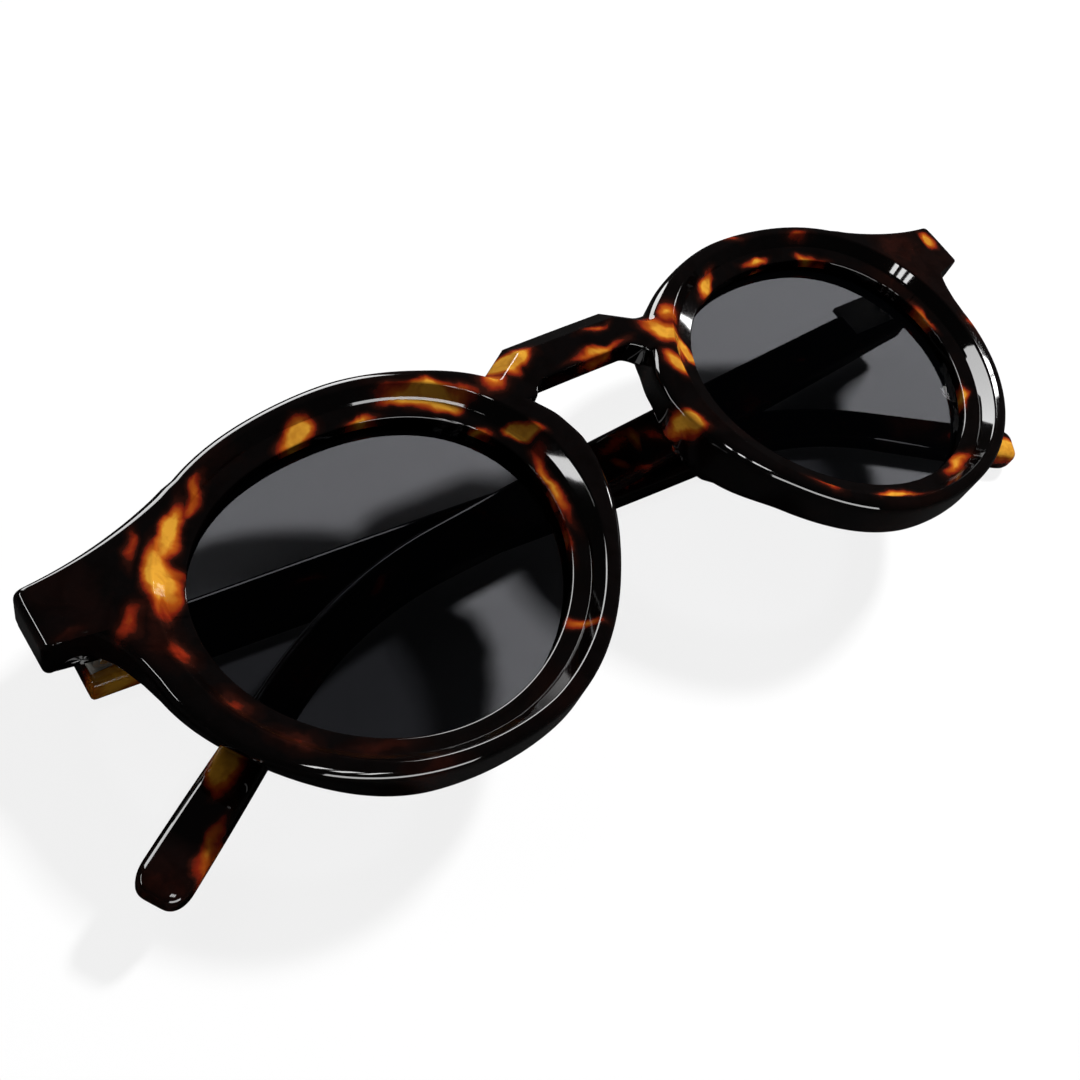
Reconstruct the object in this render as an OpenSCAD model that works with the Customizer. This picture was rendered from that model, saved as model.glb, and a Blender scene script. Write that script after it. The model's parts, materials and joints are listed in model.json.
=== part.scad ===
// Round tortoiseshell sunglasses, folded and lying face up on their temples.
// Millimetres. X runs across the front, +Y points to the brow, +Z points up, out of the face.
// Left and right are the wearer's, so the left side is at +X.

/* [Lenses] */
// Distance between the centres of the two lens openings
lens_spacing = 73; // [70:0.5:76]
// Width of each lens opening
lens_w = 44; // [42:0.5:46]
// Height of each lens opening
lens_h = 38.8; // [37:0.2:41]
// How far the upper corners and the chin of the opening bulge past an oval
lens_panto = 0.6; // [0:0.1:0.9]
// Thickness of a lens
lens_t = 1.8; // [1.4:0.1:2]
// Depth of the lens below the face
lens_inset = 3.9; // [3.6:0.1:4]
// How far the lens edge reaches into its groove
lens_grip = 0.8; // [0.5:0.1:1.1]

/* [Front] */
// Radius of the curve that the whole front follows, seen from above
face_r = 550; // [450:10:800]
// Thickness of the front
front_t = 6.4; // [6.3:0.1:7]
// Width of the rim over the top of the lens
rim_top = 5.1; // [4.6:0.1:5.6]
// Width of the rim under the lens
rim_bottom = 4.7; // [4.3:0.1:5]
// Width of the rim at the nose
rim_nose = 7.9; // [7.6:0.1:8.2]
// Width of the rim at the temple
rim_temple = 5.8; // [5.4:0.1:6.2]
// How much wider the rim gets below the lug
cheek = 1.2; // [0.8:0.1:1.6]
// How much the rim slims down the nose side
nose_taper = 1.8; // [1:0.1:2]
// Depth of the keyhole's shoulder in the nose side of the rim
keyhole_cut = 0.6; // [0.3:0.1:1]
// How far the back of the rim stands out at the nose
nose_flare = 1.4; // [0.8:0.1:1.6]
// How far the back of the rim is cut in below the lug
undercut = 2; // [1:0.1:2.2]
// Radius of the rim's outer edges
edge_r = 1; // [0.7:0.1:1.2]

/* [Stepped ring] */
// Width of the shallow inner ring round the lens
ring_w = 2.1; // [1.8:0.1:2.4]
// Depth of the inner ring's edge below the face
ring_depth = 2.4; // [2:0.1:2.7]
// Rise of the inner ring from its edge to the step
ring_rise = 0.65; // [0.4:0.05:0.9]
// Distance from the lens opening to the crest of the bevel
crest_w = 3.7; // [3.4:0.1:4]

/* [Bridge] */
// Height of the bridge bar's top edge above the lens centre
bridge_top = 20.2; // [19.6:0.1:20.8]
// Height of the nose gap's top edge above the lens centre
bridge_bottom = 13.2; // [12.6:0.1:13.8]
// Thickness of the bridge bar
bridge_t = 4; // [3.6:0.1:4.4]
// Length of the slope at each end of the bridge bar's top
bridge_shoulder = 4.9; // [4.4:0.1:5.4]
// Width of the chamfer along the bridge bar's top edge
bridge_chamfer = 2.6; // [1.8:0.1:3.2]
// How far the nose pads stand behind the front
pad_depth = 2.6; // [1.8:0.1:3]

/* [Lugs and hinges] */
// Half the width of the front, out to the ends of the lugs
lug_x = 73; // [72:0.5:75]
// Top edge of the lug above the lens centre
lug_top = 15.7; // [15.3:0.1:16]
// Height of the lug's outer end
lug_h = 7.5; // [7.2:0.1:7.8]
// Distance from the lug's back face to the hinge axis
hinge_off = 2.2; // [2:0.1:2.5]
// Outer radius of the hinge knuckles
knuckle_r = 1.5; // [1.3:0.1:1.6]
// Height of the stack of knuckles
knuckle_stack = 5.6; // [5:0.1:6]
// Number of knuckles in a hinge
knuckle_count = 5; // [3:2:5]
// Gap between neighbouring knuckles
knuckle_gap = 0.08; // [0.06:0.01:0.12]
// Radius of the hinge screw's shank
screw_r = 0.7; // [0.6:0.05:0.8]
// Running clearance round the screw in the temple's knuckles
screw_fit = 0.04; // [0.02:0.01:0.06]
// Thickness of the hinge's leaves
leaf_t = 0.8; // [0.6:0.1:1]

/* [Temples] */
// Thickness of a temple
temple_t = 4; // [3.6:0.1:4.2]
// Height of a temple at its hinge end
butt_h = 6.5; // [6.2:0.1:6.8]
// Height of a temple at its tallest, halfway along
temple_h = 7.4; // [7:0.1:7.6]
// Height of a temple at its slimmest, just past the ear bend
ear_neck = 5.2; // [5:0.1:5.8]
// Height of the ear part near its end
ear_h = 6.1; // [5.8:0.1:6.4]
// Distance from the hinge axis to the ear bend
bend_at = 106; // [104:0.5:107]
// Length of the ear part, from the bend to the end
ear_len = 40; // [38:0.5:42]
// Radius of the ear bend along the middle of the temple
bend_r = 60; // [50:1:64]
// Downward slope of a temple from its hinge
droop = 3.8; // [3.6:0.1:4.2]
// Angle of the ear bend
bend = 27.5; // [27:0.5:30]
// Distance from the middle of a hinge down to the middle of its temple
temple_drop = 1.3; // [1.1:0.1:1.5]
// Radius of a temple's long edges
temple_edge = 0.9; // [0.6:0.1:1.1]

/* [Fits] */
// Gap between a temple's end and its lug when the temple is open
butt_gap = 0.25; // [0.2:0.05:0.35]
// Gap between the two folded temples where they cross
cross_gap = 0.4; // [0.3:0.1:0.6]
// Clearance between pieces set into each other
seat_gap = 0.05; // [0.03:0.01:0.1]

/* [Hidden] */

lens_x = lens_spacing / 2;
eps = 0.01;

// Step in degrees between the sections of a rim
rim_step = 5;
// Inset that trims the corners of a piece's hidden edges
trim = 0.8;
back_trim = 0.5;

// Lug: where its top edge leaves the rim, and how deep its rounded corner is
lug_root = 54.5;
lug_root_rise = 3.9;
lug_notch_x = 65.6;
lug_notch_drop = 6.2;
lug_notch_power = 5;
lug_corner = 0.7;
lug_bottom = lug_top - lug_h;
lug_mid = lug_top - lug_h / 2;

// Hinge: the axis lies behind the lug and inside the temple's inner face, which sits in from the lug's end
temple_inset = 0.6;
lug_back = face_z(lug_x) - front_t - 0.5;
hinge_x = lug_x - temple_inset - temple_t - hinge_off;
hinge_z = lug_back - hinge_off;
hinge_y = lug_mid - 0.85;
boss_len = 11.5;
knuckle_h = (knuckle_stack - (knuckle_count - 1) * knuckle_gap) / knuckle_count;
knuckle_pitch = knuckle_h + knuckle_gap;
leaf_h = knuckle_stack;
front_leaf_len = 4.6;
temple_leaf_len = 9;
leaf_end = 1.6;
leg_r = 0.6;
leg_len = 2.2;
head_r = 1.2;
head_h = 0.6;
slot_w = 0.35;
slot_d = 0.3;

// The folded temples lie flat, one on the other, and the front leans by this angle to let them
lean = asin((temple_t + cross_gap) / (2 * hinge_x));

tip_trim = [[0, 0.52, 0.9], [0.5, 0.76, 0.45], [1.4, 0.92, 0.12], [2.8, 1, 0]];

// Height of the curved face at x, below its highest line
function face_z(x) = sqrt(face_r * face_r - x * x) - face_r;

// Distance from the lens centre to the opening's edge, at an angle from the temple side
function opening_r(a) = (lens_w + lens_h) / 4 + (lens_w - lens_h) / 4 * cos(2 * a)
    + lens_panto * sin(3 * a);

// Smooth swell from 0 to 1 and back, at an angle and over a reach on either side of it
function swell(a, at, reach) = let (t = max(0, 1 - abs((a - at + 540) % 360 - 180) / reach))
    t * t * (3 - 2 * t);

// How far the nose side has slimmed at that angle: fast under the shoulder, and back again at the chin
taper_start = 172;
taper_low = 202;
taper_end = 255;
function taper(a) = a < taper_start || a > taper_end ? 0
    : a < taper_low ? sin(90 * (a - taper_start) / (taper_low - taper_start))
    : (1 + cos(180 * (a - taper_low) / (taper_end - taper_low))) / 2;

// Width of the rim at that angle, on its face
function rim_width(a) = let (
        side = (rim_temple + rim_nose) / 2,
        cap = (rim_top + rim_bottom) / 2)
    (side + cap) / 2 + (side - cap) / 2 * cos(2 * a)
    + (rim_temple - rim_nose) / 2 * cos(a) + (rim_top - rim_bottom) / 2 * sin(a)
    + cheek * swell(a, 337, 75) - brow_slim * swell(a, 125, 25)
    - nose_taper * taper(a) - keyhole_cut * swell(a, 157, 8);

// How much wider the back of the rim is than its face
brow_slim = 0.5;
keyhole_lean = 1.2;
function back_step(a) = nose_flare * swell(a, 193, 20) - keyhole_lean * swell(a, 167, 13)
    - undercut * swell(a, 335, 45);

function polar(r, a) = [r * cos(a), r * sin(a)];

// Top edge of the lug, falling from the rim, and its bottom edge, curling up from the rim
function lug_top_y(x) = lug_top + lug_root_rise * pow(1 - min(1, (x - lug_root) / (lug_x - lug_root)), 2);
function lug_bottom_y(x) = lug_bottom
    - lug_notch_drop * pow(1 - min(1, (x - lug_notch_x) / (lug_x - lug_notch_x)), lug_notch_power);

// Outer outline of a rim with its lug, about the lens centre, anticlockwise from below the lug
lug_outline = concat(
    [for (x = [lug_notch_x : 0.8 : lug_x - 1.5]) [x - lens_x, lug_bottom_y(x)]],
    [[lug_x - 0.25 - lens_x, lug_bottom], [lug_x - lens_x, lug_bottom + lug_corner]],
    [[lug_x - 0.1 - lens_x, lug_top - 2 * lug_corner], [lug_x - lug_corner - lens_x, lug_top - 0.2]],
    [for (x = [lug_x - 2.5 : -2.2 : lug_root]) [x - lens_x, lug_top_y(x)]]);
rim_outline = concat(lug_outline,
    [for (a = [52 : rim_step : 360]) polar(opening_r(a) + rim_width(a), a)]);

// Section of a rim whose width is w at the face and back at the back:
// [distance from the opening, height below the face]
function rim_section(w, back) = let (
        crest = min(crest_w, w * 0.72),
        edge = min(edge_r, (w - crest) * 0.8),
        step = min(ring_w, crest * 0.6),
        lens_top = lens_inset - seat_gap,
        lens_bottom = lens_inset + lens_t + seat_gap,
        groove = lens_grip + seat_gap)
    [[0, -ring_depth], [step, ring_rise - ring_depth], [step + 0.2, ring_rise - ring_depth + 0.3],
        [crest - 0.35, -0.2], [crest, 0], [w - edge, 0], [w - 0.3 * edge, -0.3 * edge], [w, -edge],
        [back, trim - front_t], [back - trim, -front_t], [back_trim, -front_t], [0, back_trim / 2 - front_t],
        [0, -lens_bottom], [groove, -lens_bottom], [groove, -lens_top], [0, -lens_top]];

function rim_ring(p) = let (
        a = atan2(p.y, p.x), r = opening_r(a), w = norm(p) - r, section = rim_section(w, w + back_step(a)))
    [for (i = [len(section) - 1 : -1 : 0]) let (q = section[i], x = lens_x + (r + q[0]) * cos(a))
        [x, (r + q[0]) * sin(a), face_z(x) + q[1]]];

// A skin over a list of rings with equal counts of points: closed on itself, or with two end caps
module skin(rings, closed) {
    n = len(rings[0]);
    m = len(rings);
    last = closed ? m - 1 : m - 2;
    sides = [for (i = [0 : last], j = [0 : n - 1]) let (
            a = i * n + j, b = i * n + (j + 1) % n,
            c = ((i + 1) % m) * n + (j + 1) % n, d = ((i + 1) % m) * n + j)
        each [[a, b, c], [a, c, d]]];
    caps = closed ? [] : [[for (j = [n - 1 : -1 : 0]) j], [for (j = [0 : n - 1]) (m - 1) * n + j]];
    polyhedron(points = [for (r = rings) each r], faces = concat(sides, caps), convexity = 10);
}

// Bridge bar: its top edge slants down at both ends, and its underside rounds the keyhole's corners
bridge_end = lens_x - 23;
bridge_slope_end = bridge_end - 0.8;
bridge_slope_y = 17.3;
bridge_flat = bridge_slope_end - bridge_shoulder;
bridge_round = 1.9;
bridge_corner = 1.25;
bridge_sink = 0.08;
function bridge_top_y(x) = x < bridge_flat ? bridge_top
    : x < bridge_slope_end ? bridge_top
        - (bridge_top - bridge_slope_y) * (x - bridge_flat) / (bridge_slope_end - bridge_flat)
    : bridge_slope_y - 0.3 * (x - bridge_slope_end);
function bridge_bottom_y(x) = x < bridge_flat - bridge_corner ? bridge_bottom
    : x < bridge_flat + bridge_corner
        ? bridge_bottom - bridge_round * pow((x - bridge_flat) / bridge_corner / 2 + 0.5, 2)
    : bridge_bottom - bridge_round + max(0, x - bridge_end + 2) * 1.1;

bridge_stations = concat(
    [for (i = [0 : 2]) (bridge_flat - bridge_corner) * i / 3],
    [for (i = [-2 : 2]) bridge_flat + bridge_corner * i / 2],
    [for (i = [1 : 4]) bridge_flat + bridge_corner + (bridge_shoulder - bridge_corner) * i / 4],
    [bridge_end]);

function bridge_section(x) = let (
        ax = abs(x), yt = bridge_top_y(ax), yb = bridge_bottom_y(ax), z = face_z(ax) - bridge_sink,
        c = min(bridge_chamfer, (yt - yb) * 0.45))
    [[x, yb + 0.3, z], [x, yt - c, z], [x, yt - 0.25 * c, z - 0.42 * c], [x, yt, z - 0.85 * c],
        [x, yt, z - bridge_t + 0.6], [x, yt - 0.8, z - bridge_t], [x, yb + 0.9, z - bridge_t],
        [x, yb, z - bridge_t + 0.8], [x, yb, z - 0.3]];

module bridge() {
    n = len(bridge_stations);
    xs = concat([for (i = [n - 1 : -1 : 1]) -bridge_stations[i]], bridge_stations);
    skin([for (x = xs) bridge_section(x)], false);
}

// Nose pad moulded to the back of a rim, down its nose side
pad_top = 5;
pad_bottom = -9;
pad_r = 1.9;
pad_in = 1.1;
function nose_x(y) = let (a = 180 - asin(y / (opening_r(180) + rim_width(180))))
    lens_x + (opening_r(a) + rim_width(a) + back_step(a)) * cos(a);

module pad_bead(y, depth, out) {
    x = nose_x(y) + pad_in + pad_r + out;
    translate([x, y, face_z(x) - front_t - depth + pad_r]) sphere(r = pad_r, $fn = 16);
}

module nose_pad() {
    mid = (pad_top + pad_bottom) / 2;
    hull() {
        pad_bead(pad_top, 0.4, 0.5);
        pad_bead(mid + 2, pad_depth, -0.1);
        pad_bead(mid + 2, 0, 1.2);
    }
    hull() {
        pad_bead(mid + 2, pad_depth, -0.1);
        pad_bead(mid - 2, pad_depth, 0);
        pad_bead(mid, 0, 1.2);
    }
    hull() {
        pad_bead(mid - 2, pad_depth, 0);
        pad_bead(pad_bottom, 0.4, 0.5);
        pad_bead(mid - 2, 0, 1.2);
    }
}

// Thicker back of the lug, flat where the hinge is let in
module lug_boss() {
    hull() {
        for (x = [lug_x - boss_len, lug_x - 1], y = [lug_bottom + 0.9, lug_top - 0.9])
            translate([x, y, lug_back]) cylinder(r = 0.8, h = 0.2, $fn = 24);
        for (x = [lug_x - boss_len + 0.8, lug_x - 1.1], y = [lug_bottom + 1, lug_top - 1])
            translate([x, y, face_z(lug_x) - 3]) cylinder(r = 0.9, h = 0.2, $fn = 24);
    }
}

module front_half() {
    difference() {
        union() {
            skin([for (p = rim_outline) rim_ring(p)], true);
            nose_pad();
            lug_boss();
        }
        translate([hinge_x, hinge_y, hinge_z]) front_leaf_shape(seat_gap);
    }
}

module front_frame() color([0.24, 0.09, 0.04]) placed() union() {
    front_half();
    mirror([1, 0, 0]) front_half();
    bridge();
}

// A lens is cut from a sheet that follows the curve of the face
module face_drum(depth) {
    translate([0, 0, -face_r - depth]) rotate([90, 0, 0])
        cylinder(r = face_r, h = 2 * lens_h, center = true, $fn = 360);
}

module lens(side) color([0.16, 0.17, 0.2, 0.75]) placed() intersection() {
    translate([side * lens_x, 0, -lens_w]) linear_extrude(height = lens_w)
        polygon([for (a = [0 : rim_step : 359]) let (p = polar(opening_r(a) + lens_grip, a)) [side * p.x, p.y]]);
    difference() {
        face_drum(lens_inset);
        face_drum(lens_inset + lens_t);
    }
}

// Plate and legs of a front leaf, about the hinge axis, grown by a gap to cut its seat
module front_leaf_shape(gap) {
    translate([-front_leaf_len - gap, -leaf_h / 2 - gap, hinge_off - eps * gap])
        cube([front_leaf_len + leaf_end + 2 * gap, leaf_h + 2 * gap, leaf_t + gap]);
    for (y = [-1, 1])
        translate([-front_leaf_len + 1.2, y * leaf_h / 4, hinge_off + leaf_t / 2])
            cylinder(r = leg_r + gap, h = leaf_t / 2 + leg_len + gap, $fn = 24);
}

module temple_leaf_shape(gap) {
    translate([-temple_leaf_len - gap, -leaf_h / 2 - gap, -hinge_off - leaf_t - gap])
        cube([temple_leaf_len + leaf_end + 2 * gap, leaf_h + 2 * gap, leaf_t + gap * (1 + eps)]);
    for (part = [0.4, 0.8])
        translate([-part * temple_leaf_len, 0, -hinge_off - leaf_t - temple_t / 3 - gap])
            cylinder(r = leg_r + gap, h = leaf_t / 2 + temple_t / 3 + gap, $fn = 24);
}

// Knuckles of one half of a hinge: every second one, each on a web up to its leaf
module knuckles(first, bore, up) {
    difference() {
        for (i = [first : 2 : knuckle_count - 1])
            translate([0, -knuckle_stack / 2 + i * knuckle_pitch, 0]) {
                rotate([-90, 0, 0]) cylinder(r = knuckle_r, h = knuckle_h, $fn = 48);
                translate([-knuckle_r, 0, up > 0 ? 0 : -hinge_off - leaf_t / 2])
                    cube([2 * knuckle_r - 0.4, knuckle_h, hinge_off + leaf_t / 2]);
            }
        rotate([90, 0, 0]) cylinder(r = bore, h = 2 * knuckle_stack, center = true, $fn = 48);
    }
}

module front_hinge(side) color([0.72, 0.72, 0.74]) placed() on_side(side)
    translate([hinge_x, hinge_y, hinge_z]) union() {
        front_leaf_shape(0);
        knuckles(0, screw_r + seat_gap / 2, 1);
    }

module hinge_screw(side) color([0.8, 0.8, 0.82]) placed() on_side(side)
    translate([hinge_x, hinge_y, hinge_z]) rotate([-90, 0, 0]) difference() {
        union() {
            translate([0, 0, -knuckle_stack / 2 - 0.15]) cylinder(r = screw_r, h = knuckle_stack + 0.3, $fn = 48);
            translate([0, 0, knuckle_stack / 2 + seat_gap]) cylinder(r = head_r, h = head_h, $fn = 48);
        }
        translate([-head_r, -slot_w / 2, knuckle_stack / 2 + seat_gap + head_h - slot_d])
            cube([2 * head_r, slot_w, slot_d + 1]);
    }

module temple_hinge(side) color([0.72, 0.72, 0.74]) at_hinge(side) union() {
    temple_leaf_shape(0);
    knuckles(1, screw_r + screw_fit, -1);
}

// Middle line of a temple in its own plane, from the hinge axis: [along, up, slope]
bend_tangent = bend_r * tan(bend / 2);
straight_len = bend_at - bend_tangent;
ear_straight = ear_len - bend_tangent;
butt_u = hinge_off - butt_gap;
function straight_point(s) = [s * cos(droop), -s * sin(droop), droop];
function arc_point(t) = let (start = straight_point(straight_len), a = droop + t * bend)
    [start[0] + bend_r * (sin(a) - sin(droop)), start[1] - bend_r * (cos(droop) - cos(a)), a];
function ear_point(s) = let (start = arc_point(1), a = droop + bend)
    [start[0] + s * cos(a), start[1] - s * sin(a), a];

// Height of a temple at s along its middle line: tallest halfway, slim past the bend, fuller at the end
tallest_at = 60;
tip_len = 3;
bend_end = straight_len + bend_r * bend * PI / 180;
function height_at(s) = s < tallest_at ? butt_h + (temple_h - butt_h) * sin(90 * s / tallest_at)
    : s < bend_end
        ? ear_neck + (temple_h - ear_neck) * (1 + cos(180 * (s - tallest_at) / (bend_end - tallest_at))) / 2
    : ear_neck + (ear_h - ear_neck) * sin(90 * (s - bend_end) / (ear_straight - tip_len));

// Stations along a temple: [point, half height, inset of the faces at the tip]
stations = concat(
    [[[-butt_u, butt_u * tan(droop), 0], butt_h / 2, 0]],
    [for (i = [0.5 : 9.5]) let (s = straight_len * i / 10) [straight_point(s), height_at(s) / 2, 0]],
    [for (t = [0 : 0.125 : 1]) let (s = straight_len + t * (bend_end - straight_len))
        [arc_point(t), height_at(s) / 2, 0]],
    [for (i = [1 : 3]) let (s = (ear_straight - tip_len) * i / 4)
        [ear_point(s), height_at(bend_end + s) / 2, 0]],
    [for (i = [3 : -1 : 0])
        [ear_point(ear_straight - tip_trim[i][0]), ear_h / 2 * tip_trim[i][1], tip_trim[i][2]]]);

function temple_ring(st) = let (
        p = st[0], h = st[1], w = st[2], e = min(temple_edge, h * 0.5), t = temple_t,
        up = [sin(p[2]), cos(p[2])],
        corner = [[h - e, w], [h - 0.3 * e, w + 0.3 * e], [h, w + e],
            [h, t - e - w], [h - 0.3 * e, t - 0.3 * e - w], [h - e, t - w]],
        around = concat([for (i = [0 : 5]) [-corner[i][0], corner[i][1]]],
            [for (i = [5 : -1 : 0]) corner[i]]))
    [for (q = around) [-p[0] - q[0] * up[0], p[1] + q[0] * up[1] - temple_drop, -hinge_off - q[1]]];

temple_rings = [for (st = stations) temple_ring(st)];

module temple(side) color([0.3, 0.11, 0.05]) at_hinge(side) difference() {
    skin(temple_rings, false);
    temple_leaf_shape(seat_gap);
}

// Places on the folded object: the front leans, and the temples lie flat
function leant(x, z) = [x * cos(lean) - z * sin(lean), x * sin(lean) + z * cos(lean)];
left_axis = leant(hinge_x, hinge_z);
right_axis = leant(-hinge_x, hinge_z);
lift = hinge_off + temple_t - right_axis[1];
shift_x = -(left_axis[0] + right_axis[0]) / 2;
rim_ys = [for (p = rim_outline) p.y];
shift_y = -(max(rim_ys) + min(rim_ys)) / 2;

module on_side(side) {
    if (side > 0) children();
    else mirror([1, 0, 0]) children();
}

module placed() translate([shift_x, shift_y, lift]) rotate([0, -lean, 0]) children();

module at_hinge(side) {
    axis = side > 0 ? left_axis : right_axis;
    translate([axis[0] + shift_x, hinge_y + shift_y, axis[1] + lift]) on_side(side) children();
}

echo(left_hinge = [left_axis[0] + shift_x, hinge_y + shift_y, left_axis[1] + lift]);
echo(right_hinge = [right_axis[0] + shift_x, hinge_y + shift_y, right_axis[1] + lift]);
echo(lean = lean, shift = [shift_x, shift_y, lift]);

front_frame();
lens(1);  // lens_left
lens(-1);  // lens_right
temple(1);  // temple_left
temple(-1);  // temple_right
front_hinge(1);  // front_hinge_left
front_hinge(-1);  // front_hinge_right
temple_hinge(1);  // temple_hinge_left
temple_hinge(-1);  // temple_hinge_right
hinge_screw(1);  // hinge_screw_left
hinge_screw(-1);  // hinge_screw_right
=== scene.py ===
import json
import math

import bmesh
import bpy
from mathutils import Matrix, Vector


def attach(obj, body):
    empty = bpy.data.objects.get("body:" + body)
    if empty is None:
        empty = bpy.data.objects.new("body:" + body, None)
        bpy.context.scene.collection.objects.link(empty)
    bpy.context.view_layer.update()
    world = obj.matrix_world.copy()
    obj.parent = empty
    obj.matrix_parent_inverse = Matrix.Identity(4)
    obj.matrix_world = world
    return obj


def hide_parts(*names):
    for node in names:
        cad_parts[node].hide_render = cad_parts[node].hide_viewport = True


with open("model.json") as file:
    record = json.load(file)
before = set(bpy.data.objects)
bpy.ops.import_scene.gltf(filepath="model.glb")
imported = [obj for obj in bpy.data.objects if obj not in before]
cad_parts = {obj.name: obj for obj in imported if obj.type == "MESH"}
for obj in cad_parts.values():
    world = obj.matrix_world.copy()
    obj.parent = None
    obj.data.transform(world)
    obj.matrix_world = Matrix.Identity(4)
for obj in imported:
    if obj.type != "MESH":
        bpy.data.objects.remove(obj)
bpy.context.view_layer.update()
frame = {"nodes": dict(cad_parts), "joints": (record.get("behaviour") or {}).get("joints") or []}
scene = bpy.context.scene
scene.view_settings.view_transform = "Standard"
mm = 0.001

cameraLook = {
    "stands": (-98.9, -50.85, 141.0),
    "looksAt": (-20.66, -5.3, 20.0),
    "roll": 29.31,
    "lens": 43.87,
    "shift": (-0.0003, 0.0028),
    "sensor": 36,
    "clip": 0.005,
}


def makeCamera(look):
    data = bpy.data.cameras.new("camera")
    data.lens = look["lens"]
    data.sensor_width = look["sensor"]
    data.clip_start = look["clip"]
    data.shift_x, data.shift_y = look["shift"]
    camera = bpy.data.objects.new("camera", data)
    scene.collection.objects.link(camera)
    stand, aim = Vector(look["stands"]) * mm, Vector(look["looksAt"]) * mm
    turn = (aim - stand).to_track_quat("-Z", "Y").to_matrix().to_4x4()
    roll = Matrix.Rotation(math.radians(look["roll"]), 4, "Z")
    camera.matrix_world = Matrix.Translation(stand) @ turn @ roll
    scene.camera = camera


makeCamera(cameraLook)
print("camera set")

# Millimetres in the front's own frame: x across, y to the brow, z out of the face, lens centres at y = 0
# Degrees go round the opening of the left lens, from its temple side over the brow
rims = {
    "spacing": 73, "wide": 44, "high": 38.8, "panto": 0.6, "curve": 550, "thick": 6.4,
    "top": 5.1, "bottom": 4.7, "nose": 7.9, "temple": 5.8,
    # changes of the width, then of the back edge: how much, at which degree, how far each way
    "cheek": (1.2, 337, 75), "browSlim": (0.5, 125, 25), "keyhole": (0.6, 157, 8),
    "noseFlare": (1.4, 193, 20), "keyholeLean": (1.2, 167, 13), "undercut": (2.0, 335, 45),
    "noseTaper": (1.8, 172, 202, 255),  # how much, the degrees where it starts, is whole and ends
    "ringWide": 2.1, "ringDeep": 2.4, "ringRise": 0.65, "crest": 3.7, "dome": 0.16, "domeWide": 4,
    "crestMost": 0.72, "ringMost": 0.6, "edgeMost": 0.8,  # of the room there is, where a rim is narrow
    "edge": 1.0, "edgeSpread": 1.7, "edgeShare": 0.66, "trim": 0.8, "first": 50.5, "last": 359, "step": 1.5,
}
lensShape = {
    "thick": 1.8, "inset": 3.9, "grip": 0.78, "slack": 0.05, "endSlack": 0.07, "bevel": 0.12, "turns": 144,
    "rings": [0.12, 0.3, 0.5, 0.66, 0.8, 0.9, 0.96],
}
lugs = {
    "out": 73, "top": 15.7, "bottom": 8.2, "root": 54.5, "rootRise": 3.9, "notch": 65.6,
    "notchDrop": 6.2, "notchPower": 5, "bossLong": 11.5, "bossIn": 0.9, "bossRound": 0.62, "bossEase": 0.18,
    "bossFront": 2.8,
}
bridgeBar = {
    "top": 20.2, "under": 13.2, "thick": 4.0, "flat": 7.8, "end": 13.5, "slopeEnd": 12.7, "slopeLow": 17.3,
    "chamfer": 2.6, "chamferDeep": 0.85, "round": 1.9, "corner": 1.25, "sink": 0.06,
    "tailFall": 0.3, "tailRise": 1.1,
}
nosePads = {"top": 5, "bottom": -9, "reach": 2, "ball": 1.9, "inside": 1.1, "deep": 2.6, "endDeep": 0.4}
hinges = {
    "x": 66.2, "y": 11.1, "off": 2.2, "behind": 0.5, "high": 5.6, "leaf": 0.8, "frontLeaf": 4.6, "templeLeaf": 9,
    "leafEnd": 1.6, "gap": 0.05,
}
temples = {
    "thick": 4.0, "butt": 6.5, "tall": 7.4, "neck": 5.2, "ear": 6.1, "bendAt": 106, "earLong": 40,
    "bendRound": 60, "droop": 3.8, "bend": 27.5, "drop": 1.3, "edge": 0.9, "tallAt": 60, "tip": 2.8,
    "soft": 1.15, "earSoft": 1.75, "buttGap": 0.25,
    "tipEnd": 0.985, "tipFall": 0.56, "tipFallPower": 2.2, "tipThin": 1.05, "tipThinPower": 2.6,
}
lensX = rims["spacing"] / 2


def faceDepth(x):  # the face curves gently back towards the temples
    return math.sqrt(rims["curve"] ** 2 - x * x) - rims["curve"]


hinges["z"] = faceDepth(lugs["out"]) - rims["thick"] - hinges["behind"] - hinges["off"]


def placeFront():  # the joints give the place and lean of the front
    spots = {joint["name"]: Vector(joint["pos_m"]) / mm for joint in frame["joints"]}
    left, right = spots["left_temple_hinge"], spots["right_temple_hinge"]
    lean = math.asin((left.z - right.z) / (2 * hinges["x"]))
    turn = Matrix.Rotation(-lean, 4, "Y")
    shift = left - turn @ Vector((hinges["x"], hinges["y"], hinges["z"]))
    return Matrix.Scale(mm, 4) @ Matrix.Translation(shift) @ turn, {1: left, -1: right}


frontPlace, hingeSpots = placeFront()


def opening(a):  # the reach of the lens opening at a degree round it
    turn = math.radians(a)
    return ((rims["wide"] + rims["high"]) / 4 + (rims["wide"] - rims["high"]) / 4 * math.cos(2 * turn)
            + rims["panto"] * math.sin(3 * turn))


def swell(a, amount, at, reach):
    t = max(0, 1 - abs((a - at + 540) % 360 - 180) / reach)
    return amount * (t * t * (3 - 2 * t))


def taper(a, amount, start, whole, end):
    if a < start or a > end:
        return 0
    if a < whole:
        return amount * math.sin(math.pi / 2 * (a - start) / (whole - start))
    return amount * ((1 + math.cos(math.pi * (a - whole) / (end - whole))) / 2)


def rimWidth(a):
    turn = math.radians(a)
    side, cap = (rims["temple"] + rims["nose"]) / 2, (rims["top"] + rims["bottom"]) / 2
    plain = (side + cap) / 2 + (side - cap) / 2 * math.cos(2 * turn)
    plain += (rims["temple"] - rims["nose"]) / 2 * math.cos(turn)
    plain += (rims["top"] - rims["bottom"]) / 2 * math.sin(turn)
    return (plain + swell(a, *rims["cheek"]) - swell(a, *rims["browSlim"])
            - taper(a, *rims["noseTaper"]) - swell(a, *rims["keyhole"]))


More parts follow.
